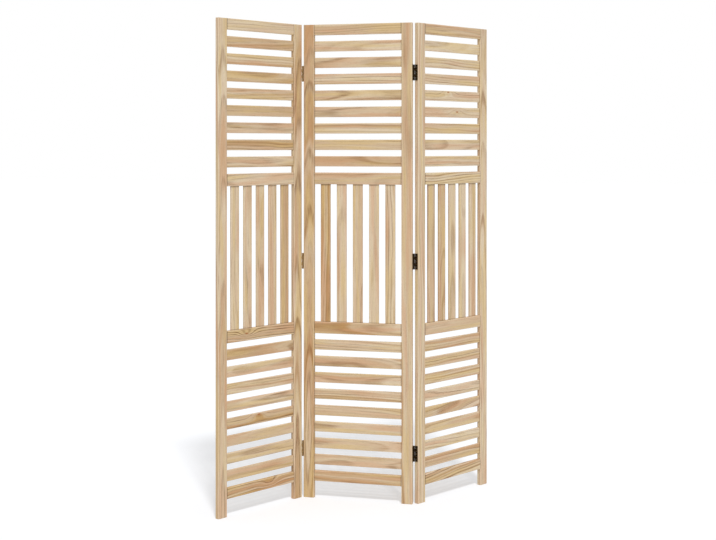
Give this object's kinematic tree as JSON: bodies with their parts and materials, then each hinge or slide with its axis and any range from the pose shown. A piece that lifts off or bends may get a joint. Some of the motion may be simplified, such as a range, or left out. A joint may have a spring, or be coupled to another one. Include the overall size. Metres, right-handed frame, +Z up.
{
  "type": "folding slatted screen",
  "caption": "Folding wooden room divider: panels of level and upright slats in stile-and-rail frames, joined in a zigzag by butt hinges.",
  "frame": {"origin": "on the floor under the middle of the centre panel, which is also the middle of the part's box in X and Y", "axes": "+Z up. The centre panel lies along X and its front, the side the picture shows, faces -Y. The left panel swings towards -Y and the right one towards +Y."},
  "size_m": [0.8074, 0.731, 1.7],
  "materials": {
    "frame_wood": "sanded, clear matt lacquer",
    "slat_wood": "sanded, clear matt lacquer",
    "hinge_bronze": "dark antique bronze plating, satin",
    "hinge_pin": "dark antique bronze plating, satin"
  },
  "bodies": {
    "centre_panel": {"centre_left_stile": "frame_wood", "centre_right_stile": "frame_wood", "centre_top_rail": "frame_wood", "centre_upper_mid_rail": "frame_wood", "centre_lower_mid_rail": "frame_wood", "centre_bottom_rail": "frame_wood", "centre_upper_slat_1": "slat_wood", "centre_upper_slat_2": "slat_wood", "centre_upper_slat_3": "slat_wood", "centre_upper_slat_4": "slat_wood", "centre_upper_slat_5": "slat_wood", "centre_upper_slat_6": "slat_wood", "centre_upper_slat_7": "slat_wood", "centre_upper_slat_8": "slat_wood", "centre_upright_slat_1": "slat_wood", "centre_upright_slat_2": "slat_wood", "centre_upright_slat_3": "slat_wood", "centre_upright_slat_4": "slat_wood", "centre_upright_slat_5": "slat_wood", "centre_lower_slat_1": "slat_wood", "centre_lower_slat_2": "slat_wood", "centre_lower_slat_3": "slat_wood", "centre_lower_slat_4": "slat_wood", "centre_lower_slat_5": "slat_wood", "centre_lower_slat_6": "slat_wood", "centre_lower_slat_7": "slat_wood", "centre_lower_slat_8": "slat_wood", "left_top_hinge_centre_leaf": "hinge_bronze", "left_top_hinge_pin": "hinge_pin", "left_middle_hinge_centre_leaf": "hinge_bronze", "left_middle_hinge_pin": "hinge_pin", "left_bottom_hinge_centre_leaf": "hinge_bronze", "left_bottom_hinge_pin": "hinge_pin", "right_top_hinge_centre_leaf": "hinge_bronze", "right_top_hinge_pin": "hinge_pin", "right_middle_hinge_centre_leaf": "hinge_bronze", "right_middle_hinge_pin": "hinge_pin", "right_bottom_hinge_centre_leaf": "hinge_bronze", "right_bottom_hinge_pin": "hinge_pin"},
    "left_panel": {"left_outer_stile_with_upper_slats": "frame_wood", "left_hinge_stile_with_lower_slats": "frame_wood", "left_top_rail": "frame_wood", "left_upper_mid_rail": "frame_wood", "left_lower_mid_rail_with_upright_slats": "frame_wood", "left_bottom_rail": "frame_wood", "left_top_hinge_side_leaf": "hinge_bronze", "left_middle_hinge_side_leaf": "hinge_bronze", "left_bottom_hinge_side_leaf": "hinge_bronze"},
    "right_panel": {"right_outer_stile_with_upper_slats": "frame_wood", "right_hinge_stile_with_lower_slats": "frame_wood", "right_top_rail": "frame_wood", "right_upper_mid_rail": "frame_wood", "right_lower_mid_rail_with_upright_slats": "frame_wood", "right_bottom_rail": "frame_wood", "right_top_hinge_side_leaf": "hinge_bronze", "right_middle_hinge_side_leaf": "hinge_bronze", "right_bottom_hinge_side_leaf": "hinge_bronze"}
  },
  "joints": [
    {"name": "left_fold", "type": "hinge", "parent": "centre_panel", "child": "left_panel", "pos_m": [-0.2033, -0.0086, 0], "axis": [0, 0, 1], "range_deg": [-74.5, 117.5]},
    {"name": "right_fold", "type": "hinge", "parent": "centre_panel", "child": "right_panel", "pos_m": [0.2033, 0.0086, 0], "axis": [0, 0, 1], "range_deg": [-74.5, 117.5]}
  ]
}
